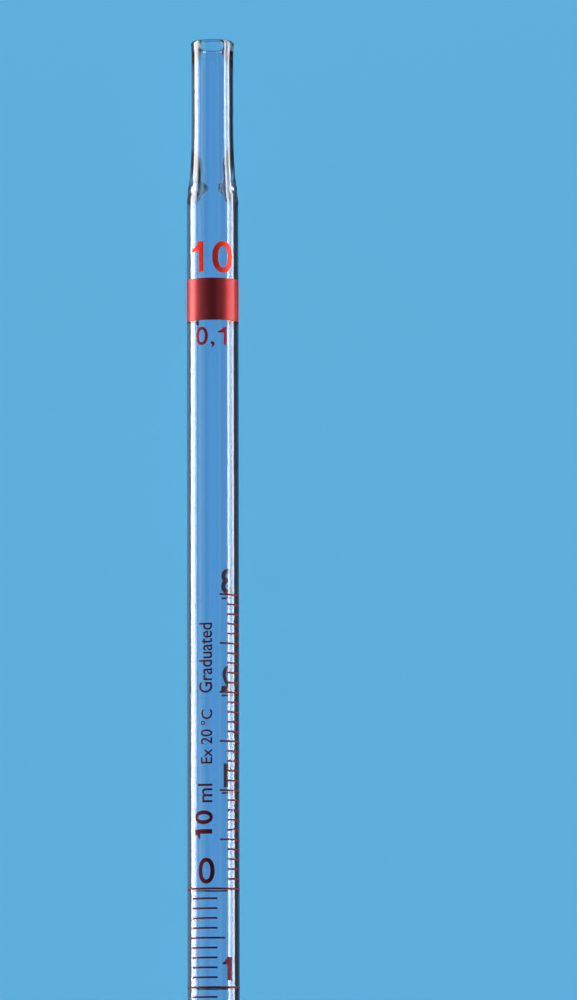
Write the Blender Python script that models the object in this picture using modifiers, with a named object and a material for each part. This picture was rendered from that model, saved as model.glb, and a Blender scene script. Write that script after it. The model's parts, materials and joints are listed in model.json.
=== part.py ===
"""A 10 ml serological pipette of clear glass, with a scale for 1 ml steps.

It lies on the floor plane, its mouth towards +Y and the front of its scale up.
The tube is one piece, drawn and fire-polished from plain tubing: a mouthpiece with
a throat that stops the cotton, a shoulder, a parallel bore and a tapered tip.
The lines and the colour band are fired into its skin, so each is a thin solid that
lies flush in a shallow seat of its own.
"""

import bpy
from math import atan, atan2, cos, hypot, pi, radians, sin, sqrt, tan

MM = 0.001
MILLILITRE = 1000 * MM ** 3

# The tube
OVERALL_LENGTH = 360.0 * MM
BODY_DIAMETER = 9.9 * MM
FACETS = 32

# The mouthpiece, whose distances run down from the mouth
MOUTHPIECE_DIAMETER = 8.0 * MM
CHAMBER_DIAMETER = 6.9 * MM
MOUTHPIECE_LENGTH = 15.0 * MM
MOUTH_BEAD_DIAMETER = 8.26 * MM
MOUTH_BEAD_LENGTH = 2.6 * MM
MOUTH_EDGE_RADIUS = 0.4 * MM
MOUTH_BORE = 5.7 * MM
MOUTH_LIP_LENGTH = 6.0 * MM
MOUTH_INNER_RADIUS = 0.5 * MM

# The shoulder, and the throat inside it, where the wall stands in from two sides
SHOULDER_LENGTH = 16.5 * MM
THROAT_GAP = 2.6 * MM
THROAT_TO_BORE = 3.2 * MM
THROAT_EASE = 8.5 * MM
THROAT_SPAN = 65.0

# The tapered tip, whose distances run up from its end
TAPER_LENGTH = 25.0 * MM
TAPER_BLEND_RADIUS = 60.0 * MM
TIP_DIAMETER = 5.16 * MM
TIP_BEAD_LENGTH = 2.2 * MM
TIP_EDGE_RADIUS = 0.8 * MM
ORIFICE_DIAMETER = 2.2 * MM
ORIFICE_LENGTH = 1.0 * MM
ORIFICE_EDGE_RADIUS = 0.25 * MM
ORIFICE_TO_CONE = 1.9 * MM

# The scale: the length of bore that holds 1 ml, and how far the lines reach
# round the tube, in degrees from its front, with + to the right
PITCH = 18.48 * MM
MAIN_LINES = 10
UPPER_LINES = 3
LAST_LINE_TO_TAPER = 4.0 * MM
LINE_WIDTH = 0.35 * MM
FULL_TURN = (-180.0, 180.0)
MAIN_HALF_REACH = (-70.0, 26.5)
UPPER_LINE_REACH = (14.5, 159.0)
UPPER_HALF_REACH = (15.0, 111.0)

# The colour band below the shoulder
BAND_LENGTH = 8.05 * MM
BAND_REACH = (-141.0, 141.0)
SHOULDER_TO_BAND = 14.45 * MM

# How the lines and the band lie in the glass
MARK_DEPTH = 0.05 * MM
MARK_CLEARANCE = 0.02 * MM
CUTTER_MARGIN = 0.5 * MM

MERGE_DISTANCE = 0.000001

# Worked out from the sizes above
FACET_ANGLE = 2 * pi / FACETS
FLAT_TO_CORNER = 1 / cos(FACET_ANGLE / 2)
# A faceted section holds as much as the true circle when its corners lie this far out
CORNER_FACTOR = sqrt(FACET_ANGLE / sin(FACET_ANGLE))
BODY_RADIUS = BODY_DIAMETER / 2
BORE_RADIUS = sqrt(MILLILITRE / (pi * PITCH))
BORE_SHARE = BORE_RADIUS / BODY_RADIUS
SHOULDER_END = MOUTHPIECE_LENGTH + SHOULDER_LENGTH
THROAT_DEPTH = SHOULDER_END - THROAT_TO_BORE
TAPER_ANGLE = atan((BODY_DIAMETER - TIP_DIAMETER) / 2 / (TAPER_LENGTH - TIP_BEAD_LENGTH))
TAPER_START = OVERALL_LENGTH - TAPER_LENGTH - TAPER_BLEND_RADIUS * tan(TAPER_ANGLE / 2)
ZERO_LINE = TAPER_START - LAST_LINE_TO_TAPER - (MAIN_LINES - 1) * PITCH
BAND_MIDDLE = SHOULDER_END + SHOULDER_TO_BAND + BAND_LENGTH / 2


def clear_scene():
    for obj in list(bpy.data.objects):
        bpy.data.objects.remove(obj, do_unlink=True)


def new_collection(name):
    collection = bpy.data.collections.new(name)
    bpy.context.scene.collection.children.link(collection)
    return collection


def linear(level):
    """One channel of a screen colour, 0 to 255, as linear light."""
    share = level / 255
    if share <= 0.04045:
        return share / 12.92
    return ((share + 0.055) / 1.055) ** 2.4


def new_material(name, colour, roughness, transmission=0.0):
    material = bpy.data.materials.new(name)
    material.use_nodes = True
    shader = material.node_tree.nodes["Principled BSDF"]
    shader.inputs["Base Color"].default_value = [linear(level) for level in colour] + [1.0]
    shader.inputs["Roughness"].default_value = roughness
    shader.inputs["Metallic"].default_value = 0.0
    shader.inputs["Transmission Weight"].default_value = transmission
    material.diffuse_color = shader.inputs["Base Color"].default_value
    return material


def arc(depth, radius, bend, start, end, steps):
    """Points (depth, radius) on a circular bend about a centre, with angles from straight out."""
    points = []
    for step in range(steps + 1):
        angle = radians(start + (end - start) * step / steps)
        points.append((depth + bend * sin(angle), radius + bend * cos(angle)))
    return points


def easy_curve(start, pull, hold, end, steps):
    """Points on a cubic curve from start to end, drawn towards pull first and hold last."""
    points = []
    for step in range(steps + 1):
        t = step / steps
        weights = ((1 - t) ** 3, 3 * t * (1 - t) ** 2, 3 * t * t * (1 - t), t ** 3)
        corners = (start, pull, hold, end)
        points.append(tuple(sum(w * c[i] for w, c in zip(weights, corners)) for i in (0, 1)))
    return points


def mouth_outside():
    """The fire-polished bead round the mouth, from its flat end to the mouthpiece."""
    bead = MOUTH_BEAD_DIAMETER / 2
    wall = MOUTHPIECE_DIAMETER / 2
    edge = arc(MOUTH_EDGE_RADIUS, bead - MOUTH_EDGE_RADIUS, MOUTH_EDGE_RADIUS, -90, 0, 2)
    run = MOUTH_BEAD_LENGTH - MOUTH_EDGE_RADIUS
    start = (MOUTH_EDGE_RADIUS + run / 3, bead)
    end = (MOUTH_BEAD_LENGTH, wall)
    return edge + easy_curve(start, (start[0] + run / 3, bead), (end[0] - run / 3, wall), end, 3)


def shoulder_outside():
    """The flare from the slim mouthpiece to the full body, slow at first and round at its end."""
    start = (MOUTHPIECE_LENGTH, MOUTHPIECE_DIAMETER / 2)
    end = (SHOULDER_END, BODY_RADIUS)
    pull = (start[0] + 0.76 * SHOULDER_LENGTH, start[1])
    hold = (end[0] - 0.14 * SHOULDER_LENGTH, end[1])
    return easy_curve(start, pull, hold, end, 8)


def taper_blend():
    """The long soft bend where the body turns into the tapered tip."""
    centre = BODY_RADIUS - TAPER_BLEND_RADIUS
    end = TAPER_ANGLE * 180 / pi
    return arc(TAPER_START, centre, TAPER_BLEND_RADIUS, 0, end, 4)


def tip_outside():
    """The end of the cone, the bead of the tip and its rounded edge."""
    tip = TIP_DIAMETER / 2
    cone_end = [(OVERALL_LENGTH - TIP_BEAD_LENGTH, tip)]
    edge_depth = OVERALL_LENGTH - TIP_EDGE_RADIUS
    return cone_end + arc(edge_depth, tip - TIP_EDGE_RADIUS, TIP_EDGE_RADIUS, 0, 90, 4)


def tip_inside():
    """Up from the end through the orifice, which opens into the tapered bore."""
    orifice = ORIFICE_DIAMETER / 2
    edge_depth = OVERALL_LENGTH - ORIFICE_EDGE_RADIUS
    edge = arc(edge_depth, orifice + ORIFICE_EDGE_RADIUS, ORIFICE_EDGE_RADIUS, 90, 180, 2)
    start = (OVERALL_LENGTH - ORIFICE_LENGTH, orifice)
    height = ORIFICE_LENGTH + ORIFICE_TO_CONE
    cone = TIP_DIAMETER / 2 + (height - TIP_BEAD_LENGTH) * tan(TAPER_ANGLE)
    end = (OVERALL_LENGTH - height, cone * BORE_SHARE)
    pull = (start[0] - ORIFICE_TO_CONE / 2, start[1])
    hold = (end[0] + ORIFICE_TO_CONE / 2, end[1])
    return edge + easy_curve(start, pull, hold, end, 4)


def shoulder_inside():
    """Up from the bore to the cotton chamber, in line with the shoulder outside."""
    start = (SHOULDER_END, BORE_RADIUS)
    end = (MOUTHPIECE_LENGTH, CHAMBER_DIAMETER / 2)
    pull = (start[0] - 0.14 * SHOULDER_LENGTH, start[1])
    hold = (end[0] + 0.76 * SHOULDER_LENGTH, end[1])
    return easy_curve(start, pull, hold, end, 12)


def mouth_inside():
    """Up the cotton chamber to the thickened lip and its rounded edge."""
    lip = MOUTH_BORE / 2
    start = (MOUTH_LIP_LENGTH, CHAMBER_DIAMETER / 2)
    end = (MOUTH_INNER_RADIUS, lip)
    run = start[0] - end[0]
    swell = easy_curve(start, (start[0] - run / 2, start[1]), (end[0] + run / 4, lip), end, 4)
    edge = arc(MOUTH_INNER_RADIUS, lip + MOUTH_INNER_RADIUS, MOUTH_INNER_RADIUS, 180, 270, 2)
    return swell + edge[1:]


def ring_seat(middle, width):
    """A shallow groove round the body that takes a mark of this width."""
    floor = BODY_RADIUS - (MARK_DEPTH + MARK_CLEARANCE) * FLAT_TO_CORNER / CORNER_FACTOR
    top = middle - width / 2 - MARK_CLEARANCE
    bottom = middle + width / 2 + MARK_CLEARANCE
    return [(top, BODY_RADIUS), (top, floor), (bottom, floor), (bottom, BODY_RADIUS)]


def body_outside():
    """Down the parallel body, with a groove for each whole-ml line."""
    outline = []
    for line in range(MAIN_LINES):
        outline += ring_seat(ZERO_LINE + line * PITCH, LINE_WIDTH)
    return outline


def tube_outside():
    """Down the whole outer side of the tube."""
    upper = mouth_outside() + shoulder_outside()
    return upper + body_outside() + taper_blend() + tip_outside()


def tube_inside():
    """Back up the whole bore."""
    inner_blend = [(depth, radius * BORE_SHARE) for depth, radius in reversed(taper_blend())]
    return tip_inside() + inner_blend + shoulder_inside() + mouth_inside()


def place(obj, parent, collection):
    obj.parent = parent
    collection.objects.link(obj)


def turned(name, outline, closed, start, sweep, steps, material):
    """A profile of (depth, radius) points swept round the axis from the angle start."""
    corners = []
    for depth, radius in outline:
        corner = radius * CORNER_FACTOR
        height = OVERALL_LENGTH / 2 - depth
        corners.append((corner * cos(start), corner * sin(start), height))
    edges = [(i, i + 1) for i in range(len(corners) - 1)]
    if closed:
        edges.append((len(corners) - 1, 0))
    mesh = bpy.data.meshes.new(name)
    mesh.from_pydata(corners, edges, [])
    if material:
        mesh.materials.append(material)
    obj = bpy.data.objects.new(name, mesh)
    screw = obj.modifiers.new("turn", "SCREW")
    screw.axis = "Z"
    screw.angle = sweep
    screw.steps = steps
    screw.render_steps = steps
    screw.use_merge_vertices = steps == FACETS
    screw.merge_threshold = MERGE_DISTANCE
    screw.use_smooth_shade = True
    return obj


def thicken(strip, thickness):
    """Gives a curved strip its thickness, outwards from the side that it was swept on."""
    solid = strip.modifiers.new("thickness", "SOLIDIFY")
    solid.thickness = thickness
    solid.offset = 1.0
    solid.use_even_offset = True


def nearest_corner(reach):
    """The tube's corner nearest to an angle in degrees from its front, counted in facets."""
    return round(radians(reach) / FACET_ANGLE - 0.5) + 0.5


def press_throat(tube, inside_starts):
    """Lets the wall of the bore stand in from both sides, slowly at first, to stop the cotton.

    In every step of the turn it moves the points of the profile from inside_starts on.
    """
    depsgraph = bpy.context.evaluated_depsgraph_get()
    mesh = bpy.data.meshes.new_from_object(tube.evaluated_get(depsgraph))
    tube.modifiers.clear()
    points = len(tube.data.vertices)
    tube.data = mesh
    for vertex in mesh.vertices:
        place = vertex.co
        depth = OVERALL_LENGTH / 2 - place.z
        reach = THROAT_EASE if depth < THROAT_DEPTH else THROAT_TO_BORE
        along = abs(depth - THROAT_DEPTH) / reach
        radius = hypot(place.x, place.y)
        aside = atan2(abs(place.y), abs(place.x)) / radians(THROAT_SPAN)
        if vertex.index % points < inside_starts or along > 1 or aside > 1:
            continue
        share = (1 + cos(pi * along)) / 2 * cos(aside * pi / 2) ** 2
        pressed = radius - share * (radius - THROAT_GAP / 2)
        place.x *= pressed / radius
        place.y *= pressed / radius


def add_mark(name, middle, width, reach, material, parts, parent):
    """A fired mark, whose skin is flush with the flats of the glass."""
    first, last = (nearest_corner(angle) for angle in reach)
    start = first * FACET_ANGLE - pi / 2
    inner = BODY_RADIUS - MARK_DEPTH * FLAT_TO_CORNER / CORNER_FACTOR
    outline = [(middle - width / 2, inner), (middle + width / 2, inner)]
    facets = int(last - first)
    mark = turned(name, outline, False, start, facets * FACET_ANGLE, facets, material)
    thicken(mark, MARK_DEPTH)
    place(mark, parent, parts)


def add_seat_cutter(name, middle, width, reach, cutters, parent):
    """The cutter of the seat of a mark that goes part of the way round.

    Its corners lie as low as its mark's flats, less the clearance, and it takes one
    step fewer than the mark, so that no corner of it meets a corner of the tube.
    """
    first, last = (nearest_corner(angle) for angle in reach)
    facets = int(last - first)
    gap = MARK_CLEARANCE / BODY_RADIUS
    start = first * FACET_ANGLE - pi / 2 - gap
    sweep = facets * FACET_ANGLE + 2 * gap
    floor = BODY_RADIUS / FLAT_TO_CORNER - (MARK_DEPTH + MARK_CLEARANCE) / CORNER_FACTOR
    top = middle - width / 2 - MARK_CLEARANCE
    bottom = middle + width / 2 + MARK_CLEARANCE
    seat = turned(name, [(top, floor), (bottom, floor)], False, start, sweep, facets - 1, None)
    thicken(seat, CUTTER_MARGIN)
    seat.hide_render = True
    seat.display_type = "WIRE"
    place(seat, parent, cutters)


def part_turn_lines():
    """The name, depth and reach of each line that goes part of the way round."""
    lines = []
    for line in range(MAIN_LINES - 1):
        depth = ZERO_LINE + (line + 0.5) * PITCH
        lines.append((f"half_line_{line}_5", depth, MAIN_HALF_REACH))
    for line in range(UPPER_LINES):
        depth = ZERO_LINE - (line + 1) * PITCH
        lines.append((f"upper_line_{line + 1}", depth, UPPER_LINE_REACH))
        lines.append((f"upper_half_line_{line}_5", depth + PITCH / 2, UPPER_HALF_REACH))
    return lines


def build():
    clear_scene()
    parts = new_collection("serological_pipette")
    cutters = new_collection("mark_seats")

    glass = new_material("clear_glass", (206, 226, 230), 0.03, 0.9)
    stain = new_material("brown_stain", (92, 32, 42), 0.35)
    enamel = new_material("red_enamel", (231, 74, 57), 0.3)

    # The empty lies along the tube's axis, a flat's height above the floor
    axis = bpy.data.objects.new("tube_axis", None)
    axis.location = (0, 0, BODY_RADIUS * CORNER_FACTOR / FLAT_TO_CORNER)
    axis.rotation_euler = (radians(-90), 0, 0)
    parts.objects.link(axis)

    outside = tube_outside()
    tube = turned("glass_tube", outside + tube_inside(), True, FACET_ANGLE / 2, 2 * pi, FACETS, glass)
    place(tube, axis, parts)
    press_throat(tube, len(outside))

    add_mark("colour_band", BAND_MIDDLE, BAND_LENGTH, BAND_REACH, enamel, parts, axis)
    add_seat_cutter("colour_band_seat", BAND_MIDDLE, BAND_LENGTH, BAND_REACH, cutters, axis)
    for line in range(MAIN_LINES):
        depth = ZERO_LINE + line * PITCH
        add_mark(f"ring_line_{line}", depth, LINE_WIDTH, FULL_TURN, stain, parts, axis)

    for name, depth, reach in part_turn_lines():
        add_mark(name, depth, LINE_WIDTH, reach, stain, parts, axis)
        add_seat_cutter(name + "_seat", depth, LINE_WIDTH, reach, cutters, axis)

    seats = tube.modifiers.new("mark seats", "BOOLEAN")
    seats.operation = "DIFFERENCE"
    seats.operand_type = "COLLECTION"
    seats.collection = cutters
    seats.solver = "EXACT"


build()
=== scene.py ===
import json
from math import atan, atan2, cos, exp, hypot, pi, radians, sin, sqrt, tan

import bpy
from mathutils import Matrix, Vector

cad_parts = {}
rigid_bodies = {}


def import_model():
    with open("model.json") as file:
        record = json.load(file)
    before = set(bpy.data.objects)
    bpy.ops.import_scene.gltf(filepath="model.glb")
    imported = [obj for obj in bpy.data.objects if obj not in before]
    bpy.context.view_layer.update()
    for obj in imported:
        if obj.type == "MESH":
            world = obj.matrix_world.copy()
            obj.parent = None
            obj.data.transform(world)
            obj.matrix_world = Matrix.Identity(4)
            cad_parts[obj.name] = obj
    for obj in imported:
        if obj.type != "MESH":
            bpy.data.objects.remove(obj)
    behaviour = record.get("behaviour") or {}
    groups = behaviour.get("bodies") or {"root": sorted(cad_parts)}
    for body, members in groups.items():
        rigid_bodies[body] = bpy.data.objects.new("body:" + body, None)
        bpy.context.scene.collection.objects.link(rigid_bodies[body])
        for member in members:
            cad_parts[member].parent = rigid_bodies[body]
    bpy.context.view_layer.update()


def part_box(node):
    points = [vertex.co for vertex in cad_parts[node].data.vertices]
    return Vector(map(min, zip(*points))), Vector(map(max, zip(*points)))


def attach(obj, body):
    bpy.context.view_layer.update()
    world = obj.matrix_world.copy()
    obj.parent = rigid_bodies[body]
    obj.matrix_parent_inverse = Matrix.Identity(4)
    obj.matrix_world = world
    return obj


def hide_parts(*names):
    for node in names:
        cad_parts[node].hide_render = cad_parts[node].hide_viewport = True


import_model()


# The set. The pipette lies on a plain pale blue table under soft side light, and the
# camera looks down on its upper half. White cards and dark flags, which only the glass
# shows, draw the bright strips along it and its dark outlines; a painted shade on the
# glass's own edges darkens these outlines too.
MM = 0.001
TABLE_BLUE = (95, 176, 221)
TABLE_SIZE = 12.0
TABLE_LIT_SHARE = 0.22
TABLE_LIT_LEVEL = 0.257
CAMERA_PLACE = (14.3 * MM, -53.7 * MM, 1337.0 * MM)
CAMERA_TILT = 6.25
CAMERA_ROLL = -0.151
CAMERA_LENS = 254.8
SENSOR_WIDTH = 36.0
AMBIENT_LEVEL = 0.14
SIDE_LAMP_REACH = 900 * MM
SIDE_LAMP_HEIGHT = 50 * MM
SIDE_LAMP_SIZE = (1600 * MM, 90 * MM)
SIDE_LAMP_POWER = 12.0
CARD_DISTANCE = 500 * MM
CARD_LENGTH = 3000 * MM
CROSS_FLAG_WIDTH = 1600 * MM
CROSS_FLAG_BRIGHTNESS = 0.03
SKY_TINT = (0.35, 1.0, 0.8)
GLOW_TINT = (0.85, 1.0, 0.8)
SHOWN_BY = ("Is Camera Ray", "Is Glossy Ray", "Is Transmission Ray")


def linear(level):
    """One channel of a screen colour, 0 to 255, as linear light."""
    share = level / 255
    if share <= 0.04045:
        return share / 12.92
    return ((share + 0.055) / 1.055) ** 2.4


def colour(levels):
    """A screen colour as the four linear numbers that a socket takes."""
    return [linear(level) for level in levels] + [1.0]


def seen_directly(nodes, links):
    """A number that is 1 for the rays that show a thing, also by way of glass, and 0 for others."""
    path = nodes.new("ShaderNodeLightPath")
    total = path.outputs[SHOWN_BY[0]]
    for kind in SHOWN_BY[1:]:
        either = nodes.new("ShaderNodeMath")
        either.operation = "MAXIMUM"
        links.new(total, either.inputs[0])
        links.new(path.outputs[kind], either.inputs[1])
        total = either.outputs[0]
    return total


def lay_table():
    """A wide flat table: mostly its own even colour, and partly lit, so that it takes shadows."""
    bpy.ops.object.select_all(action="DESELECT")
    bpy.ops.mesh.primitive_plane_add(size=TABLE_SIZE, location=(0, 0, 0))
    table = bpy.context.object
    table.name = "table"
    material = bpy.data.materials.new("table_blue")
    material.use_nodes = True
    nodes = material.node_tree.nodes
    links = material.node_tree.links
    nodes.clear()
    output = nodes.new("ShaderNodeOutputMaterial")
    both = nodes.new("ShaderNodeAddShader")
    lit = nodes.new("ShaderNodeBsdfDiffuse")
    own = nodes.new("ShaderNodeEmission")
    blue = colour(TABLE_BLUE)
    share = TABLE_LIT_SHARE / TABLE_LIT_LEVEL
    lit.inputs["Color"].default_value = [level * share for level in blue[:3]] + [1.0]
    own.inputs["Color"].default_value = blue
    strength = nodes.new("ShaderNodeMath")
    strength.operation = "MULTIPLY"
    strength.inputs[1].default_value = 1.0 - TABLE_LIT_SHARE
    seen = seen_directly(nodes, links)
    links.new(seen, strength.inputs[0])
    links.new(strength.outputs[0], own.inputs["Strength"])
    links.new(lit.outputs[0], both.inputs[0])
    links.new(own.outputs[0], both.inputs[1])
    links.new(both.outputs[0], output.inputs["Surface"])
    table.data.materials.append(material)
    table.visible_glossy = False
    table.visible_transmission = False


def light_room():
    """An even room: it looks table blue where it shows, and lights the glass with plain white."""
    world = bpy.data.worlds.new("room")
    bpy.context.scene.world = world
    world.use_nodes = True
    nodes = world.node_tree.nodes
    links = world.node_tree.links
    nodes.clear()
    output = nodes.new("ShaderNodeOutputWorld")
    choice = nodes.new("ShaderNodeMixShader")
    light = nodes.new("ShaderNodeBackground")
    look = nodes.new("ShaderNodeBackground")
    light.inputs["Color"].default_value = (1.0, 1.0, 1.0, 1.0)
    light.inputs["Strength"].default_value = AMBIENT_LEVEL
    look.inputs["Color"].default_value = colour(TABLE_BLUE)
    seen = seen_directly(nodes, links)
    links.new(seen, choice.inputs["Fac"])
    links.new(light.outputs[0], choice.inputs[1])
    links.new(look.outputs[0], choice.inputs[2])
    links.new(choice.outputs[0], output.inputs["Surface"])


def hang_side_lamp(name, side):
    """A long soft lamp low at one side, which never shows itself."""
    data = bpy.data.lights.new(name, "AREA")
    data.shape = "RECTANGLE"
    data.size = SIDE_LAMP_SIZE[0]
    data.size_y = SIDE_LAMP_SIZE[1]
    data.energy = SIDE_LAMP_POWER
    lamp = bpy.data.objects.new(name, data)
    bpy.context.scene.collection.objects.link(lamp)
    lamp.location = (side * SIDE_LAMP_REACH, 0, SIDE_LAMP_HEIGHT)
    slope = atan(SIDE_LAMP_REACH / SIDE_LAMP_HEIGHT)
    lamp.rotation_euler = (slope, 0, side * pi / 2)
    lamp.visible_camera = False
    lamp.visible_glossy = False
    lamp.visible_transmission = False


def stand_card(name, first, last, brightness, seen="both", tint=(1.0, 1.0, 1.0)):
    """A long card between two angles from straight up, seen only in the glass.

    It shows as reflections on the outside, from inside the glass or through it, or as both."""
    middle = radians((first + last) / 2)
    half = radians(abs(last - first) / 2)
    place = (CARD_DISTANCE * sin(middle), 0, CARD_DISTANCE * cos(middle))
    bpy.ops.object.select_all(action="DESELECT")
    bpy.ops.mesh.primitive_plane_add(size=1, location=place, rotation=(0, middle, 0))
    card = bpy.context.object
    card.name = name
    card.scale = (2 * CARD_DISTANCE * tan(half), CARD_LENGTH, 1)
    material = bpy.data.materials.new(name)
    material.use_nodes = True
    nodes = material.node_tree.nodes
    links = material.node_tree.links
    nodes.clear()
    output = nodes.new("ShaderNodeOutputMaterial")
    glow = nodes.new("ShaderNodeEmission")
    glow.inputs["Color"].default_value = (*tint, 1.0)
    glow.inputs["Strength"].default_value = brightness
    links.new(glow.outputs[0], output.inputs["Surface"])
    material.cycles.emission_sampling = "NONE"
    card.data.materials.append(material)
    card.visible_camera = False
    card.visible_diffuse = False
    card.visible_glossy = seen != "inside"
    card.visible_transmission = seen != "outside"
    card.visible_shadow = False


def stand_cross_flag(name, y, low, high):
    """A dark sheet across the pipette's line, which gives dark outlines to glass bent towards it."""
    place = (0, y, (low + high) / 2)
    bpy.ops.object.select_all(action="DESELECT")
    bpy.ops.mesh.primitive_plane_add(size=1, location=place, rotation=(pi / 2, 0, 0))
    flag = bpy.context.object
    flag.name = name
    flag.scale = (CROSS_FLAG_WIDTH, high - low, 1)
    material = bpy.data.materials.new(name)
    material.use_nodes = True
    nodes = material.node_tree.nodes
    nodes.clear()
    output = nodes.new("ShaderNodeOutputMaterial")
    glow = nodes.new("ShaderNodeEmission")
    glow.inputs["Strength"].default_value = CROSS_FLAG_BRIGHTNESS
    material.node_tree.links.new(glow.outputs[0], output.inputs["Surface"])
    material.cycles.emission_sampling = "NONE"
    flag.data.materials.append(material)
    flag.visible_camera = False
    flag.visible_diffuse = False
    flag.visible_shadow = False


def set_camera():
    """Looks down on the pipette's upper half from a distance, a hair off square."""
    data = bpy.data.cameras.new("camera")
    data.sensor_width = SENSOR_WIDTH
    data.lens = CAMERA_LENS
    camera = bpy.data.objects.new("camera", data)
    camera.location = CAMERA_PLACE
    camera.rotation_mode = "ZYX"
    camera.rotation_euler = (radians(CAMERA_TILT), 0, radians(CAMERA_ROLL))
    bpy.context.scene.collection.objects.link(camera)
    bpy.context.scene.camera = camera


bpy.context.scene.view_settings.view_transform = "Standard"
lay_table()
light_room()
hang_side_lamp("left_lamp", -1)
hang_side_lamp("right_lamp", 1)
stand_card("left_card", -114, -84, 13.0, "outside")
stand_card("left_card_edge", -83, -76, 6.0, "outside")
stand_card("left_glow", -116, -91, 0.9, "inside", GLOW_TINT)
stand_card("right_outer_card", 92, 107, 11.0, "outside")
stand_card("right_middle_card", 80, 91, 5.0, "outside")
stand_card("right_inner_card", 68, 79, 13.5, "outside")
stand_card("right_glow", 66, 103, 1.2, "inside", GLOW_TINT)
stand_card("left_streak_card", -65, -36, 1.6, "outside", SKY_TINT)
stand_card("right_streak_card", 21, 36, 1.3, "outside", SKY_TINT)
stand_card("left_dark", -84, -22, 0.05, "inside")
stand_card("right_dark", 22, 64, 0.05, "inside")
stand_card("right_flag", 118, 165, 0.03)
stand_card("left_flag", -155, -116, 0.16)
stand_cross_flag("mouth_end_flag", 700 * MM, -600 * MM, 600 * MM)
stand_cross_flag("tip_end_flag", -700 * MM, -600 * MM, 600 * MM)
stand_cross_flag("low_tip_flag", -100 * MM, -1300 * MM, -20 * MM)
set_camera()


# The glass tube. It is one piece of clear drawn tubing: the mouthpiece is necked down
# and holds a throat for the cotton, the far end is drawn to a tapered tip, and both
# ends are rounded in the flame.
GLASS_SIDES = 192
OVERALL_LENGTH = 360.0 * MM
BODY_DIAMETER = 9.9 * MM
BORE_DIAMETER = 8.3 * MM
MOUTHPIECE_DIAMETER = 8.0 * MM
CHAMBER_DIAMETER = 6.9 * MM
MOUTHPIECE_LENGTH = 15.0 * MM
MOUTH_BEAD_DIAMETER = 8.26 * MM
MOUTH_BEAD_LENGTH = 2.6 * MM
MOUTH_BORE = 5.0 * MM
MOUTH_LIP_LENGTH = 6.0 * MM
MOUTH_INNER_RADIUS = 0.5 * MM
MOUTH_EDGE_RADIUS = 0.4 * MM
SHOULDER_LENGTH = 16.5 * MM
SHOULDER_NECK_PULL = 0.76
SHOULDER_BODY_PULL = 0.14
THROAT_GAP = 2.6 * MM
THROAT_TO_BORE = 3.2 * MM
THROAT_EASE = 8.5 * MM
THROAT_SPAN = 65.0
THROAT_EASE_SHARE = 0.75
KNOB_REACH = 1.1 * MM
RIDGE_WIDTH = 0.9 * MM
RIDGE_HEIGHT = 0.16 * MM
WAVE_LENGTH = 0.85 * MM
WAVE_HEIGHT = 0.13 * MM
WAVE_REACH = 1.2 * MM
# Each fold's depth, height over the axis, thickness and length, in millimetres
THROAT_FOLDS = (
    (24.6, 1.0, 0.5, 5.0), (25.4, 1.9, 0.5, 4.2), (27.6, 0.4, 0.6, 0.7), (28.3, 0.9, 0.7, 0.7),
    (28.9, 0.35, 0.6, 0.6), (29.3, 1.0, 0.6, 0.7), (27.6, 1.8, 0.8, 0.8), (28.3, 2.3, 0.9, 0.9),
    (29.0, 1.8, 0.8, 0.8), (29.6, 2.4, 0.7, 1.0), (28.9, 2.8, 0.7, 0.7),
)
FOLD_STAGGER = 0.12
FOLD_SPREAD = 0.08
FOLD_INSET = 0.6
OUTER_WAVE_LENGTH = 2.2 * MM
OUTER_WAVE_HEIGHT = 0.06 * MM
OUTER_WAVE_REACH = 2.2 * MM
TAPER_LENGTH = 25.0 * MM
TAPER_BLEND_RADIUS = 60.0 * MM
TIP_DIAMETER = 5.16 * MM
TIP_BEAD_LENGTH = 2.2 * MM
TIP_EDGE_RADIUS = 0.8 * MM
ORIFICE_DIAMETER = 2.2 * MM
ORIFICE_LENGTH = 1.0 * MM
ORIFICE_EDGE_RADIUS = 0.25 * MM
ORIFICE_TO_CONE = 1.9 * MM
INK_HEIGHT = 0.015 * MM
GLASS_TINT = (235, 232, 248)
# The dark grey that the glass's colour takes towards its outlines is painted shade
GLASS_EDGE_PAINTED_SHADE = (120, 140, 150)
GLASS_SHADOW = 0.90
GLASS_IOR = 1.51
GLASS_STREAKS = (900.0, 4.0, 900.0)
STREAK_DEPTH = 0.002 * MM
STREAK_STRENGTH = 0.02
EDGE_PAINTED_SHADE_FROM = 0.45
EDGE_PAINTED_SHADE_FULL = 0.75
SMOOTH_UP_TO = 40.0

tube_low, tube_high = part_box("glass_tube")
MOUTH_Y = tube_high.y
AXIS_HEIGHT = (tube_low.z + tube_high.z) / 2
# The marks lie on the glass and have to keep inside the part's own size, so the glass
# is thinner than its nominal size by a few hundredths of a millimetre
SKIN_RADIUS = AXIS_HEIGHT - tube_low.z - INK_HEIGHT - 0.002 * MM
NOMINAL_RADIUS = BODY_DIAMETER / 2
BORE_SHARE = BORE_DIAMETER / BODY_DIAMETER
SHOULDER_END = MOUTHPIECE_LENGTH + SHOULDER_LENGTH
THROAT_DEPTH = SHOULDER_END - THROAT_TO_BORE
TAPER_ANGLE = atan((BODY_DIAMETER - TIP_DIAMETER) / 2 / (TAPER_LENGTH - TIP_BEAD_LENGTH))
TAPER_START = OVERALL_LENGTH - TAPER_LENGTH - TAPER_BLEND_RADIUS * tan(TAPER_ANGLE / 2)


def only(piece):
    """Selects one piece alone and makes it the active one."""
    bpy.ops.object.select_all(action="DESELECT")
    piece.select_set(True)
    bpy.context.view_layer.objects.active = piece


def settle():
    """Moves the active piece's place, turn and scale into its mesh."""
    bpy.ops.object.transform_apply(location=True, rotation=True, scale=True)


def arc(depth, radius, bend, start, end, steps):
    """Points (depth, radius) on a circular bend about a centre, with angles from straight out."""
    points = []
    for step in range(steps + 1):
        angle = radians(start + (end - start) * step / steps)
        points.append((depth + bend * sin(angle), radius + bend * cos(angle)))
    return points


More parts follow.
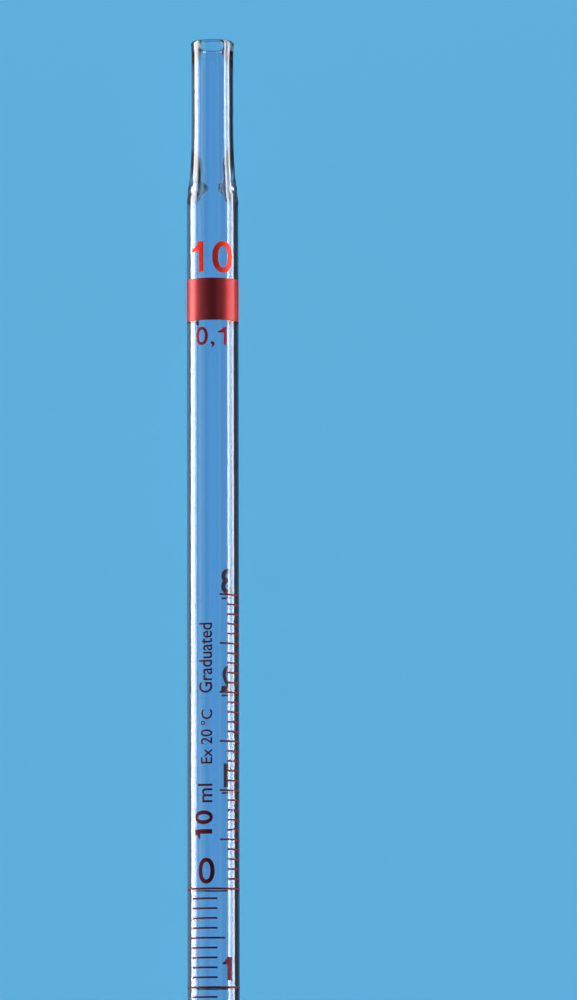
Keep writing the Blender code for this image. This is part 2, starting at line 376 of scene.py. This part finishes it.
def easy_curve(start, pull, hold, end, steps):
    """Points on a cubic curve from start to end, drawn towards pull first and hold last."""
    points = []
    for step in range(steps + 1):
        t = step / steps
        weights = ((1 - t) ** 3, 3 * t * (1 - t) ** 2, 3 * t * t * (1 - t), t ** 3)
        corners = (start, pull, hold, end)
        points.append(tuple(sum(w * c[i] for w, c in zip(weights, corners)) for i in (0, 1)))
    return points


def glass_outside():
    """Down the outside: mouth bead, mouthpiece, shoulder, body, taper and tip."""
    bead = MOUTH_BEAD_DIAMETER / 2
    neck = MOUTHPIECE_DIAMETER / 2
    tip = TIP_DIAMETER / 2
    outline = arc(MOUTH_EDGE_RADIUS, bead - MOUTH_EDGE_RADIUS, MOUTH_EDGE_RADIUS, -90, 0, 6)
    run = MOUTH_BEAD_LENGTH - MOUTH_EDGE_RADIUS
    start = (MOUTH_EDGE_RADIUS + run / 3, bead)
    end = (MOUTH_BEAD_LENGTH, neck)
    outline += easy_curve(start, (start[0] + run / 3, bead), (end[0] - run / 3, neck), end, 8)
    start = (MOUTHPIECE_LENGTH, neck)
    end = (SHOULDER_END, NOMINAL_RADIUS)
    pull = (start[0] + SHOULDER_NECK_PULL * SHOULDER_LENGTH, neck)
    hold = (end[0] - SHOULDER_BODY_PULL * SHOULDER_LENGTH, NOMINAL_RADIUS)
    outline += easy_curve(start, pull, hold, end, 26)
    outline += taper_blend()
    outline.append((OVERALL_LENGTH - TIP_BEAD_LENGTH, tip))
    edge = OVERALL_LENGTH - TIP_EDGE_RADIUS
    outline += arc(edge, tip - TIP_EDGE_RADIUS, TIP_EDGE_RADIUS, 0, 90, 8)
    return outline


def taper_blend():
    """The long soft bend where the body turns into the tapered tip."""
    turn = TAPER_ANGLE * 180 / pi
    centre = NOMINAL_RADIUS - TAPER_BLEND_RADIUS
    return arc(TAPER_START, centre, TAPER_BLEND_RADIUS, 0, turn, 12)


def glass_inside():
    """Back up the inside: orifice, tapered bore, bore, cotton chamber and lip."""
    orifice = ORIFICE_DIAMETER / 2
    centre = orifice + ORIFICE_EDGE_RADIUS
    edge = OVERALL_LENGTH - ORIFICE_EDGE_RADIUS
    outline = arc(edge, centre, ORIFICE_EDGE_RADIUS, 90, 180, 5)
    start = (OVERALL_LENGTH - ORIFICE_LENGTH, orifice)
    height = ORIFICE_LENGTH + ORIFICE_TO_CONE
    cone = TIP_DIAMETER / 2 + (height - TIP_BEAD_LENGTH) * tan(TAPER_ANGLE)
    end = (OVERALL_LENGTH - height, cone * BORE_SHARE)
    pull = (start[0] - ORIFICE_TO_CONE / 2, orifice)
    hold = (end[0] + ORIFICE_TO_CONE / 2, end[1])
    outline += easy_curve(start, pull, hold, end, 12)
    outline += [(depth, radius * BORE_SHARE) for depth, radius in reversed(taper_blend())]
    start = (SHOULDER_END, NOMINAL_RADIUS * BORE_SHARE)
    chamber = CHAMBER_DIAMETER / 2
    end = (MOUTHPIECE_LENGTH, chamber)
    pull = (start[0] - SHOULDER_BODY_PULL * SHOULDER_LENGTH, start[1])
    hold = (end[0] + SHOULDER_NECK_PULL * SHOULDER_LENGTH, chamber)
    outline += easy_curve(start, pull, hold, end, 110)
    lip = MOUTH_BORE / 2
    start = (MOUTH_LIP_LENGTH, chamber)
    end = (MOUTH_INNER_RADIUS, lip)
    run = start[0] - end[0]
    outline += easy_curve(start, (start[0] - run / 2, chamber), (end[0] + run / 4, lip), end, 20)
    centre = lip + MOUTH_INNER_RADIUS
    outline += arc(MOUTH_INNER_RADIUS, centre, MOUTH_INNER_RADIUS, 180, 270, 8)[1:]
    return outline


def draw_tube(name, outline):
    """A ring of glass at the mouth, drawn on from ring to ring along the whole outline."""
    depth, radius = outline[0]
    place = (0, MOUTH_Y - depth, AXIS_HEIGHT)
    bpy.ops.object.select_all(action="DESELECT")
    bpy.ops.mesh.primitive_circle_add(
        vertices=GLASS_SIDES, radius=radius, location=place, rotation=(pi / 2, 0, 0))
    tube = bpy.context.object
    tube.name = name
    settle()
    bpy.ops.object.mode_set(mode="EDIT")
    bpy.ops.mesh.select_all(action="SELECT")
    for next_depth, next_radius in outline[1:]:
        step = (0, depth - next_depth, 0)
        growth = next_radius / radius
        bpy.ops.mesh.extrude_edges_move(TRANSFORM_OT_translate={"value": step})
        middle = (0, MOUTH_Y - next_depth, AXIS_HEIGHT)
        bpy.ops.transform.resize(value=(growth, 1, growth), center_override=middle)
        depth, radius = next_depth, next_radius
    bpy.ops.mesh.select_all(action="DESELECT")
    bpy.ops.mesh.select_mode(type="EDGE")
    bpy.ops.mesh.select_non_manifold()
    bpy.ops.mesh.bridge_edge_loops()
    bpy.ops.mesh.select_all(action="SELECT")
    bpy.ops.mesh.normals_make_consistent(inside=False)
    bpy.ops.object.mode_set(mode="OBJECT")
    bpy.ops.object.shade_smooth()
    return tube


def waves(down, across, length, start):
    """An uneven surface of three crossing waves, at a place down and across it."""
    turn = 2 * pi / length
    total = sin(turn * (down + 1.1 * across) + start) + sin(turn * (1.4 * across - 0.7 * down))
    return total + 0.6 * sin(turn * (2.3 * down - 0.9 * across)) * sin(2.6 * turn * across)


def press_throat(tube, outer_points):
    """Lets two sides of the bore's wall stand in, slowly at first, as the stop for the cotton.

    The glass that gathered there is uneven, inside and out."""
    for vertex in tube.data.vertices:
        place = vertex.co
        depth = MOUTH_Y - place.y
        reach = THROAT_EASE if depth < THROAT_DEPTH else THROAT_TO_BORE
        along = abs(depth - THROAT_DEPTH) / reach
        height = place.z - AXIS_HEIGHT
        radius = hypot(place.x, height)
        aside = atan2(abs(height), abs(place.x)) / radians(THROAT_SPAN)
        if along > 1 or aside > 1:
            continue
        fade = cos(aside * pi / 2) ** 2
        side = 1 if place.x > 0 else 0
        low = depth - THROAT_DEPTH
        if vertex.index < outer_points:
            near = exp(-(low / OUTER_WAVE_REACH) ** 2)
            uneven = waves(low, height, OUTER_WAVE_LENGTH, side)
            pressed = radius + fade * near * OUTER_WAVE_HEIGHT * uneven
        else:
            away = low ** 2 + height ** 2
            ease = THROAT_EASE_SHARE * (1 + cos(pi * along)) / 2 * fade
            knob = (1 - THROAT_EASE_SHARE) * exp(-away / KNOB_REACH ** 2)
            pressed = radius - (ease + knob) * (radius - THROAT_GAP / 2)
            pressed += ease * RIDGE_HEIGHT * sin(2 * pi * (height + low / 9) / RIDGE_WIDTH + side)
            uneven = waves(low, height, WAVE_LENGTH, side)
            pressed += exp(-(low / WAVE_REACH) ** 2) * sqrt(fade) * WAVE_HEIGHT * uneven
        place.x *= pressed / radius
        place.z = AXIS_HEIGHT + height * pressed / radius


def fold_throat(tube):
    """Sets small beads and ridges into the stop's two walls, where the pinched glass is folded."""
    folds = bpy.data.collections.new("throat_folds")
    bpy.context.scene.collection.children.link(folds)
    for depth, height, thickness, length in THROAT_FOLDS:
        for side in (-1, 1):
            for level in (-1, 1):
                y = MOUTH_Y - (depth + FOLD_STAGGER * side * level) * MM
                z = AXIS_HEIGHT + level * height * (1 + FOLD_SPREAD * side) * MM
                x = side * (FOLD_INSET * MM + FOLD_INSET * height * MM)
                place = tube.closest_point_on_mesh((x, y, z))[1]
                bpy.ops.object.select_all(action="DESELECT")
                bpy.ops.mesh.primitive_uv_sphere_add(
                    segments=20, ring_count=12, radius=thickness / 2 * MM, location=place)
                fold = bpy.context.object
                fold.scale = (1, length / thickness, 1)
                settle()
                bpy.context.collection.objects.unlink(fold)
                folds.objects.link(fold)
    union = tube.modifiers.new("folds", "BOOLEAN")
    union.operation = "UNION"
    union.solver = "EXACT"
    union.operand_type = "COLLECTION"
    union.collection = folds
    only(tube)
    bpy.ops.object.modifier_apply(modifier=union.name)
    for fold in list(folds.objects):
        bpy.data.objects.remove(fold)
    bpy.data.collections.remove(folds)
    only(tube)
    bpy.ops.object.shade_smooth_by_angle(angle=radians(SMOOTH_UP_TO))


def glass_material():
    """Clear glass, a little darker where it is looked through edge on as painted shade, faintly drawn
    in streaks.
    """
    material = bpy.data.materials.new("clear_drawn_glass")
    material.use_nodes = True
    nodes = material.node_tree.nodes
    links = material.node_tree.links
    shader = nodes["Principled BSDF"]
    shader.inputs["Roughness"].default_value = 0.0
    shader.inputs["IOR"].default_value = GLASS_IOR
    shader.inputs["Transmission Weight"].default_value = 1.0
    place = nodes.new("ShaderNodeTexCoord")
    stretch = nodes.new("ShaderNodeMapping")
    stretch.inputs["Scale"].default_value = GLASS_STREAKS
    streaks = nodes.new("ShaderNodeTexNoise")
    streaks.inputs["Scale"].default_value = 1.0
    streaks.inputs["Detail"].default_value = 2.0
    links.new(place.outputs["Object"], stretch.inputs["Vector"])
    links.new(stretch.outputs[0], streaks.inputs["Vector"])
    bump = nodes.new("ShaderNodeBump")
    bump.inputs["Strength"].default_value = STREAK_STRENGTH
    bump.inputs["Distance"].default_value = STREAK_DEPTH
    links.new(streaks.outputs["Fac"], bump.inputs["Height"])
    links.new(bump.outputs[0], shader.inputs["Normal"])
    # Painted shade: the glass's colour turns dark grey where its surface is seen edge on
    slant = nodes.new("ShaderNodeLayerWeight")
    slant.inputs["Blend"].default_value = 0.5
    edge = nodes.new("ShaderNodeMapRange")
    edge.inputs["From Min"].default_value = EDGE_PAINTED_SHADE_FROM
    edge.inputs["From Max"].default_value = EDGE_PAINTED_SHADE_FULL
    links.new(slant.outputs["Facing"], edge.inputs["Value"])
    tint = nodes.new("ShaderNodeMix")
    tint.data_type = "RGBA"
    tint.inputs["A"].default_value = colour(GLASS_TINT)
    tint.inputs["B"].default_value = colour(GLASS_EDGE_PAINTED_SHADE)
    links.new(edge.outputs[0], tint.inputs["Factor"])
    links.new(tint.outputs["Result"], shader.inputs["Base Color"])
    through = nodes.new("ShaderNodeBsdfTransparent")
    through.inputs["Color"].default_value = (GLASS_SHADOW, GLASS_SHADOW, GLASS_SHADOW, 1.0)
    path = nodes.new("ShaderNodeLightPath")
    choice = nodes.new("ShaderNodeMixShader")
    links.new(path.outputs["Is Shadow Ray"], choice.inputs["Fac"])
    links.new(shader.outputs[0], choice.inputs[1])
    links.new(through.outputs[0], choice.inputs[2])
    links.new(choice.outputs[0], nodes["Material Output"].inputs["Surface"])
    return material


thinned = SKIN_RADIUS / NOMINAL_RADIUS
outside = glass_outside()
tube_outline = [(depth, radius * thinned) for depth, radius in outside + glass_inside()]
glass = draw_tube("pipette_glass", tube_outline)
press_throat(glass, len(outside) * GLASS_SIDES)
fold_throat(glass)
glass.data.materials.append(glass_material())
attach(glass, "root")
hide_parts("glass_tube")


# The colour band. It is a strip of red enamel, painted on below the shoulder nearly all
# round and fired into the skin of the glass. It tells the pipette's size at a glance.
BAND_LENGTH = 8.05 * MM
BAND_REACH = (-141.0, 141.0)
TURN_STEP = 3.0
BAND_DEPTH = 49.975 * MM
INK_GAP = 0.005 * MM
INK_THICKNESS = INK_HEIGHT - INK_GAP
# Painted shade: the band's red is set far darker than the enamel's own bright red, so that its front
# looks dark
RED_ENAMEL_PAINTED_SHADE = (122, 40, 46)
RED_ENAMEL_THIN_PAINTED_SHADE = (106, 34, 42)
ENAMEL_LUSTRE = (250, 40, 25)
ENAMEL_IOR = 1.6
ENAMEL_ROUGHNESS = 0.4
ENAMEL_GRAIN = 1500.0
ENAMEL_COAT = 0.05
ENAMEL_COAT_ROUGHNESS = 0.1
WELD_DISTANCE = 0.001 * MM
INK_RADIUS = SKIN_RADIUS + INK_GAP


def fired_colour(name, thick, thin, roughness, grain):
    """A fired colour with a faint gloss, a little uneven where the brush or screen left it."""
    material = bpy.data.materials.new(name)
    material.use_nodes = True
    nodes = material.node_tree.nodes
    links = material.node_tree.links
    shader = nodes["Principled BSDF"]
    place = nodes.new("ShaderNodeTexCoord")
    cloud = nodes.new("ShaderNodeTexNoise")
    cloud.inputs["Scale"].default_value = grain
    cloud.inputs["Detail"].default_value = 4.0
    links.new(place.outputs["Object"], cloud.inputs["Vector"])
    blend = nodes.new("ShaderNodeMix")
    blend.data_type = "RGBA"
    blend.inputs["A"].default_value = colour(thick)
    blend.inputs["B"].default_value = colour(thin)
    links.new(cloud.outputs["Fac"], blend.inputs["Factor"])
    links.new(blend.outputs["Result"], shader.inputs["Base Color"])
    gloss = nodes.new("ShaderNodeMapRange")
    gloss.inputs["To Min"].default_value = roughness * 0.8
    gloss.inputs["To Max"].default_value = roughness * 1.2
    links.new(cloud.outputs["Fac"], gloss.inputs["Value"])
    links.new(gloss.outputs[0], shader.inputs["Roughness"])
    shader.inputs["IOR"].default_value = GLASS_IOR
    return material


def arc_mark(name, depth, width, reach, material):
    """The cross-section of a mark, spun round the tube from one end of its reach to the other."""
    first, last = reach
    start = radians(first)
    middle = INK_RADIUS + INK_THICKNESS / 2
    y = MOUTH_Y - depth
    place = (middle * sin(start), y, AXIS_HEIGHT + middle * cos(start))
    bpy.ops.object.select_all(action="DESELECT")
    bpy.ops.mesh.primitive_plane_add(size=1, location=place, rotation=(0, start + pi / 2, 0))
    mark = bpy.context.object
    mark.name = name
    mark.scale = (INK_THICKNESS, width, 1)
    settle()
    bpy.ops.object.mode_set(mode="EDIT")
    bpy.ops.mesh.select_all(action="SELECT")
    bpy.ops.mesh.spin(
        steps=round((last - first) / TURN_STEP), angle=radians(last - first),
        center=(0, y, AXIS_HEIGHT), axis=(0, -1, 0))
    bpy.ops.mesh.select_all(action="SELECT")
    bpy.ops.mesh.remove_doubles(threshold=WELD_DISTANCE)
    bpy.ops.mesh.normals_make_consistent(inside=False)
    bpy.ops.object.mode_set(mode="OBJECT")
    bpy.ops.object.shade_smooth_by_angle(angle=radians(SMOOTH_UP_TO))
    mark.data.materials.append(material)
    return mark


# The band's enamel, in its red darkened by painted shade
red_enamel_painted_shade = fired_colour(
    "fired_red_enamel_painted_shade", RED_ENAMEL_PAINTED_SHADE, RED_ENAMEL_THIN_PAINTED_SHADE, ENAMEL_ROUGHNESS, ENAMEL_GRAIN)
shader = red_enamel_painted_shade.node_tree.nodes["Principled BSDF"]
shader.inputs["IOR"].default_value = ENAMEL_IOR
shader.inputs["Specular IOR Level"].default_value = 1.0
shader.inputs["Specular Tint"].default_value = colour(ENAMEL_LUSTRE)
shader.inputs["Coat Weight"].default_value = ENAMEL_COAT
shader.inputs["Coat Roughness"].default_value = ENAMEL_COAT_ROUGHNESS
band = arc_mark("red_capacity_band", BAND_DEPTH, BAND_LENGTH, BAND_REACH, red_enamel_painted_shade)
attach(band, "root")
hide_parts("colour_band")


# The whole-millilitre lines. Each is a hairline of brown stain that goes right round
# the tube, so that its near and far sides can be lined up when the level is read.
PITCH = 18.48 * MM
ZERO_DEPTH = 161.57 * MM
LINE_WIDTH = 0.35 * MM
MAIN_LINES = 10
BROWN_STAIN = (98, 30, 46)
BROWN_STAIN_THIN = (84, 26, 42)
STAIN_ROUGHNESS = 0.4
STAIN_GRAIN = 2500.0
STAIN_GLOSS = 0.08


def ring_mark(name, depth, width, material):
    """A hoop round the glass, drawn out to its width and then given its thickness outwards."""
    place = (0, MOUTH_Y - depth + width / 2, AXIS_HEIGHT)
    bpy.ops.object.select_all(action="DESELECT")
    bpy.ops.mesh.primitive_circle_add(
        vertices=GLASS_SIDES, radius=INK_RADIUS, location=place, rotation=(pi / 2, 0, 0))
    mark = bpy.context.object
    mark.name = name
    settle()
    bpy.ops.object.mode_set(mode="EDIT")
    bpy.ops.mesh.select_all(action="SELECT")
    bpy.ops.mesh.extrude_edges_move(TRANSFORM_OT_translate={"value": (0, -width, 0)})
    bpy.ops.mesh.select_all(action="SELECT")
    bpy.ops.mesh.normals_make_consistent(inside=False)
    bpy.ops.object.mode_set(mode="OBJECT")
    return thicken(mark, material)


def thicken(mark, material):
    """Gives a flat or curved mark the thickness of a fired film, away from the glass."""
    solid = mark.modifiers.new("film", "SOLIDIFY")
    solid.thickness = INK_THICKNESS
    solid.offset = 1.0
    only(mark)
    bpy.ops.object.modifier_apply(modifier=solid.name)
    bpy.ops.object.shade_smooth_by_angle(angle=radians(SMOOTH_UP_TO))
    mark.data.materials.append(material)
    return mark


brown_stain = fired_colour(
    "fired_brown_stain", BROWN_STAIN, BROWN_STAIN_THIN, STAIN_ROUGHNESS, STAIN_GRAIN)
shader = brown_stain.node_tree.nodes["Principled BSDF"]
shader.inputs["Specular IOR Level"].default_value = STAIN_GLOSS
for line in range(MAIN_LINES):
    ring = ring_mark(f"ring_{line}_ml", ZERO_DEPTH + line * PITCH, LINE_WIDTH, brown_stain)
    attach(ring, "root")
    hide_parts(f"ring_line_{line}")


# The half-millilitre lines of the main scale and the lines of the short scale above
# zero. They are of the same stain, and each goes only part of the way round.
MAIN_HALF_REACH = (-70.0, 26.5)
UPPER_LINE_REACH = (14.5, 159.0)
UPPER_HALF_REACH = (15.0, 111.0)
UPPER_LINES = 3


def part_turn_lines():
    """The piece's name, the node that it stands for, its depth and its reach."""
    lines = []
    for line in range(MAIN_LINES - 1):
        depth = ZERO_DEPTH + (line + 0.5) * PITCH
        lines.append((f"arc_{line}_5_ml", f"half_line_{line}_5", depth, MAIN_HALF_REACH))
    for line in range(UPPER_LINES):
        depth = ZERO_DEPTH - (line + 1) * PITCH
        lines.append((f"upper_arc_{line + 1}_ml", f"upper_line_{line + 1}", depth, UPPER_LINE_REACH))
        half = f"upper_half_line_{line}_5"
        lines.append((f"upper_arc_{line}_5_ml", half, depth + PITCH / 2, UPPER_HALF_REACH))
    return lines


for name, node, depth, reach in part_turn_lines():
    line = arc_mark(name, depth, LINE_WIDTH, reach, brown_stain)
    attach(line, "root")
    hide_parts(node)


# The tenth lines, the shortest and most numerous of both scales. One is modelled for
# each scale and copied down the tube, and the copies are then one printed scale.
MAIN_TENTH_REACH = (-52.0, 9.0)
UPPER_TENTH_REACH = (33.0, 94.0)
TENTHS = 10
LAST_TENTH = 91


def tenth_lines(name, reach, tenths):
    """One hairline and its copies at the given tenths of a millilitre, joined as one print."""
    first = arc_mark(name, ZERO_DEPTH, LINE_WIDTH, reach, brown_stain)
    copies = []
    for tenth in tenths:
        line = first.copy()
        line.data = first.data.copy()
        bpy.context.scene.collection.objects.link(line)
        line.location = (0, -tenth * PITCH / TENTHS, 0)
        copies.append(line)
    bpy.data.objects.remove(first)
    bpy.ops.object.select_all(action="DESELECT")
    for line in copies:
        line.select_set(True)
    bpy.context.view_layer.objects.active = copies[0]
    settle()
    bpy.ops.object.join()
    copies[0].name = name
    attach(copies[0], "root")


main_tenths = [tenth for tenth in range(LAST_TENTH + 1) if tenth % 5]
upper_tenths = [-tenth for tenth in range(UPPER_LINES * TENTHS) if tenth % 5]
tenth_lines("main_tenth_lines", MAIN_TENTH_REACH, main_tenths)
tenth_lines("upper_tenth_lines", UPPER_TENTH_REACH, upper_tenths)


# The figures of the scales, printed in the same brown stain: one over the right end of
# each whole line of the main scale, and those of the upper scale round the back.
FIGURE_HEIGHT = 4.55 * MM
FIGURE_WIDTH = 2.68 * MM
FIGURE_ONE = (2.08 * MM, 4.38 * MM, 1.1 * MM)
FIGURE_ONE_LEFT = 20.6
FIGURE_ONE_FOOT = 1.3 * MM
FIGURE_LEFT = 18.6
FIGURE_FOOT = 1.04 * MM
ZERO_SIZE = (3.2 * MM, 4.75 * MM)
ZERO_LEFT = -34.0
UPPER_FIGURE_LEFT = 127.0
UPPER_ONE_LEFT = 122.5
UPPER_FIGURE_WIDTH = 2.85 * MM
UPPER_ONE_STEM = 1.05 * MM
UPPER_BOLD = 0.03
BOLD = 0.011
WRAP_STEP = 0.17 * MM
ONE_FLAG_FOOT = 0.67
ONE_FLAG_THICKNESS = 0.095
ONE_FLAG_STEPS = 5


def pick(piece, wanted):
    """Goes into edit mode with only those vertices selected whose place passes the test."""
    bpy.ops.object.mode_set(mode="EDIT")
    bpy.ops.mesh.select_mode(type="VERT")
    bpy.ops.mesh.select_all(action="DESELECT")
    bpy.ops.object.mode_set(mode="OBJECT")
    for vertex in piece.data.vertices:
        vertex.select = wanted(vertex.co)
    bpy.ops.object.mode_set(mode="EDIT")


def typeset(name, words, width, height, bold):
    """Words lying flat, their left foot at the origin, as wide and as high as given."""
    bpy.ops.object.select_all(action="DESELECT")
    bpy.ops.object.text_add(location=(0, 0, 0))
    print_ = bpy.context.object
    print_.data.body = words
    print_.data.offset = bold
    print_.data.resolution_u = 6
    bpy.ops.object.convert(target="MESH")
    print_.name = name
    places = [vertex.co for vertex in print_.data.vertices]
    left = min(place.x for place in places)
    right = max(place.x for place in places)
    top = max(place.y for place in places)
    stretch = (width / (right - left), height / top, 1)
    print_.scale = stretch
    print_.location = (-left * stretch[0], 0, 0)
    settle()
    return print_


def figure_one(name, width, height, stem):
    """The figure 1: a plain stem, with its flag drawn out to the left in easing steps."""
    bpy.ops.object.select_all(action="DESELECT")
    place = (width - stem / 2, height / 2, 0)
    bpy.ops.mesh.primitive_plane_add(size=1, location=place)
    one = bpy.context.object
    one.name = name
    one.scale = (stem, height, 1)
    settle()
    foot = ONE_FLAG_FOOT * height
    bpy.ops.object.mode_set(mode="EDIT")
    bpy.ops.mesh.select_all(action="SELECT")
    bpy.ops.mesh.bisect(plane_co=(0, foot, 0), plane_no=(0, 1, 0))
    pick(one, lambda place: place.x < width - stem / 2 and place.y > foot - 0.01 * MM)
    reach = width - stem
    tall = height - foot
    for step in range(1, ONE_FLAG_STEPS + 1):
        ease = (1 - step / ONE_FLAG_STEPS) ** 2
        wanted = height * ONE_FLAG_THICKNESS * (1 - ease) + (height - foot) * ease
        move = {"value": (-reach / ONE_FLAG_STEPS, 0, 0)}
        bpy.ops.mesh.extrude_edges_move(TRANSFORM_OT_translate=move)
        bpy.ops.transform.resize(value=(1, wanted / tall, 1), center_override=(0, foot, 0))
        tall = wanted
    bpy.ops.object.mode_set(mode="OBJECT")
    return one


def wrap(print_, left, depth):
    """Lays a flat print on the glass: its left edge at an angle, its foot at a depth."""
    only(print_)
    places = [vertex.co.x for vertex in print_.data.vertices]
    bpy.ops.object.mode_set(mode="EDIT")
    bpy.ops.mesh.select_all(action="SELECT")
    bpy.ops.mesh.remove_doubles(threshold=WELD_DISTANCE)
    cut = min(places) + WRAP_STEP
    while cut < max(places):
        bpy.ops.mesh.select_all(action="SELECT")
        bpy.ops.mesh.bisect(plane_co=(cut, 0, 0), plane_no=(1, 0, 0))
        cut += WRAP_STEP
    bpy.ops.mesh.select_all(action="SELECT")
    bpy.ops.mesh.normals_make_consistent(inside=False)
    bpy.ops.object.mode_set(mode="OBJECT")
    if print_.data.polygons[0].normal.z < 0:
        print_.data.flip_normals()
    start = radians(left) - min(places) / INK_RADIUS
    for vertex in print_.data.vertices:
        turn = start + vertex.co.x / INK_RADIUS
        y = MOUTH_Y - depth + vertex.co.y
        vertex.co = (INK_RADIUS * sin(turn), y, AXIS_HEIGHT + INK_RADIUS * cos(turn))
    return print_


def join_print(name, prints, material):
    """Joins wrapped prints into one piece and fires it on."""
    bpy.ops.object.select_all(action="DESELECT")
    for print_ in prints:
        print_.select_set(True)
    bpy.context.view_layer.objects.active = prints[0]
    bpy.ops.object.join()
    piece = prints[0]
    piece.name = name
    thicken(piece, material)
    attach(piece, "root")


figures = [
    wrap(typeset("figure_0", "0", *ZERO_SIZE, BOLD), ZERO_LEFT, ZERO_DEPTH - FIGURE_FOOT),
    wrap(figure_one("figure_1", *FIGURE_ONE), FIGURE_ONE_LEFT, ZERO_DEPTH + PITCH - FIGURE_ONE_FOOT),
]
for value in range(2, MAIN_LINES):
    depth = ZERO_DEPTH + value * PITCH - FIGURE_FOOT
    flat = typeset(f"figure_{value}", str(value), FIGURE_WIDTH, FIGURE_HEIGHT, BOLD)
    figures.append(wrap(flat, FIGURE_LEFT, depth))
join_print("main_figures", figures, brown_stain)

flat = figure_one("upper_figure_1", FIGURE_WIDTH, FIGURE_HEIGHT, UPPER_ONE_STEM)
figures = [wrap(flat, UPPER_ONE_LEFT, ZERO_DEPTH - PITCH - FIGURE_FOOT)]
for value in range(2, UPPER_LINES + 1):
    depth = ZERO_DEPTH - value * PITCH - FIGURE_FOOT
    name = f"upper_figure_{value}"
    flat = typeset(name, str(value), UPPER_FIGURE_WIDTH, FIGURE_HEIGHT, UPPER_BOLD)
    figures.append(wrap(flat, UPPER_FIGURE_LEFT, depth))
join_print("upper_figures", figures, brown_stain)


# The size of the pipette and of its finest step, in the red of the band: the whole
# volume in large figures above the band, and one step of the scale below it.
TEN_HEIGHT = 5.9 * MM
TEN_DEPTH = 44.8 * MM
TEN_ONE = (2.66 * MM, 1.05 * MM)
TEN_ONE_LEFT = -50.6
TEN_ZERO_WIDTH = 4.23 * MM
TEN_ZERO_LEFT = -0.4
TEN_BOLD = 0.013
STEP_HEIGHT = 3.4 * MM
STEP_DEPTH = 58.7 * MM
STEP_ZERO_WIDTH = 2.45 * MM
STEP_ZERO_LEFT = -38.5
STEP_ONE = (1.76 * MM, 0.6 * MM)
STEP_BOLD = 0.008
STEP_ONE_LEFT = 12.2
COMMA_WIDTH = 0.75 * MM
COMMA_LEFT = -4.0
COMMA_HEIGHT = 0.6 * MM
RED_PRINT = (244, 62, 38)
RED_PRINT_THIN = (230, 50, 34)
# Painted shade: the finest step's figures are the same red as the large ones, set darker
RED_PRINT_WITH_PAINTED_SHADE = (160, 34, 42)
RED_PRINT_THIN_WITH_PAINTED_SHADE = (138, 28, 38)
RED_PRINT_METAL = 0.15
RED_PRINT_GLOSS = 0.1


def red_print(name, thick, thin):
    """The red of the figures, which shines less than the band's."""
    material = fired_colour(name, thick, thin, STAIN_ROUGHNESS, STAIN_GRAIN)
    shader = material.node_tree.nodes["Principled BSDF"]
    shader.inputs["Metallic"].default_value = RED_PRINT_METAL
    shader.inputs["Specular IOR Level"].default_value = RED_PRINT_GLOSS
    return material


ten = [
    wrap(figure_one("ten_1", TEN_ONE[0], TEN_HEIGHT, TEN_ONE[1]), TEN_ONE_LEFT, TEN_DEPTH),
    wrap(typeset("ten_0", "0", TEN_ZERO_WIDTH, TEN_HEIGHT, TEN_BOLD), TEN_ZERO_LEFT, TEN_DEPTH),
]
join_print("ten", ten, red_print("fired_red_print", RED_PRINT, RED_PRINT_THIN))
step = [
    wrap(typeset("step_0", "0", STEP_ZERO_WIDTH, STEP_HEIGHT, STEP_BOLD), STEP_ZERO_LEFT, STEP_DEPTH),
    wrap(typeset("comma", ",", COMMA_WIDTH, COMMA_HEIGHT, 0.0), COMMA_LEFT, STEP_DEPTH),
    wrap(figure_one("step_1", STEP_ONE[0], STEP_HEIGHT, STEP_ONE[1]), STEP_ONE_LEFT, STEP_DEPTH),
]
# The finest step's figures, in the red print darkened by painted shade
step_red_with_painted_shade = red_print("fired_red_print_with_painted_shade", RED_PRINT_WITH_PAINTED_SHADE, RED_PRINT_THIN_WITH_PAINTED_SHADE)
join_print("one_step", step, step_red_with_painted_shade)


# The upright line of small print beside the scale: the volume with its unit, the
# temperature at which the pipette is true, and a plain word for its kind. It reads from
# the tip towards the mouth.
UPRIGHT_FOOT = -2.2
VOLUME_HEIGHT = 3.5 * MM
VOLUME_ONE = (1.82 * MM, 0.86 * MM)
VOLUME_ONE_DEPTH = 152.26 * MM
VOLUME_ZERO_WIDTH = 2.6 * MM
VOLUME_ZERO_DEPTH = 149.49 * MM
VOLUME_BOLD = 0.02
UNIT_SIZE = (3.5 * MM, 2.9 * MM)
UNIT_DEPTH = 145.4 * MM
TRUE_AT_SIZE = (6.43 * MM, 2.2 * MM)
TRUE_AT_DEPTH = 138.1 * MM
DEGREES_SIZE = (2.92 * MM, 2.2 * MM)
DEGREES_DEPTH = 130.85 * MM
WORD_SIZE = (13.2 * MM, 2.55 * MM)
WORD_DEPTH = 124.75 * MM
SMALL_BOLD = 0.008


def upright(print_, height, depth):
    """Turns a flat print to read towards the mouth and wraps it with its foot to the right."""
    only(print_)
    print_.rotation_euler = (0, 0, pi / 2)
    settle()
    left = UPRIGHT_FOOT - height / INK_RADIUS * 180 / pi
    return wrap(print_, left, depth)


def upright_words(name, words, size, depth):
    """A word or two of the small print, set and wrapped."""
    return upright(typeset(name, words, *size, SMALL_BOLD), size[1], depth)


volume_one = figure_one("volume_1", VOLUME_ONE[0], VOLUME_HEIGHT, VOLUME_ONE[1])
volume_zero = typeset("volume_0", "0", VOLUME_ZERO_WIDTH, VOLUME_HEIGHT, VOLUME_BOLD)
small = [
    upright(volume_one, VOLUME_HEIGHT, VOLUME_ONE_DEPTH),
    upright(volume_zero, VOLUME_HEIGHT, VOLUME_ZERO_DEPTH),
    upright_words("unit", "ml", UNIT_SIZE, UNIT_DEPTH),
    upright_words("true_at", "Ex 20", TRUE_AT_SIZE, TRUE_AT_DEPTH),
    upright_words("degrees", "°C", DEGREES_SIZE, DEGREES_DEPTH),
    upright_words("kind", "Graduated", WORD_SIZE, WORD_DEPTH),
]
join_print("upright_print", small, brown_stain)
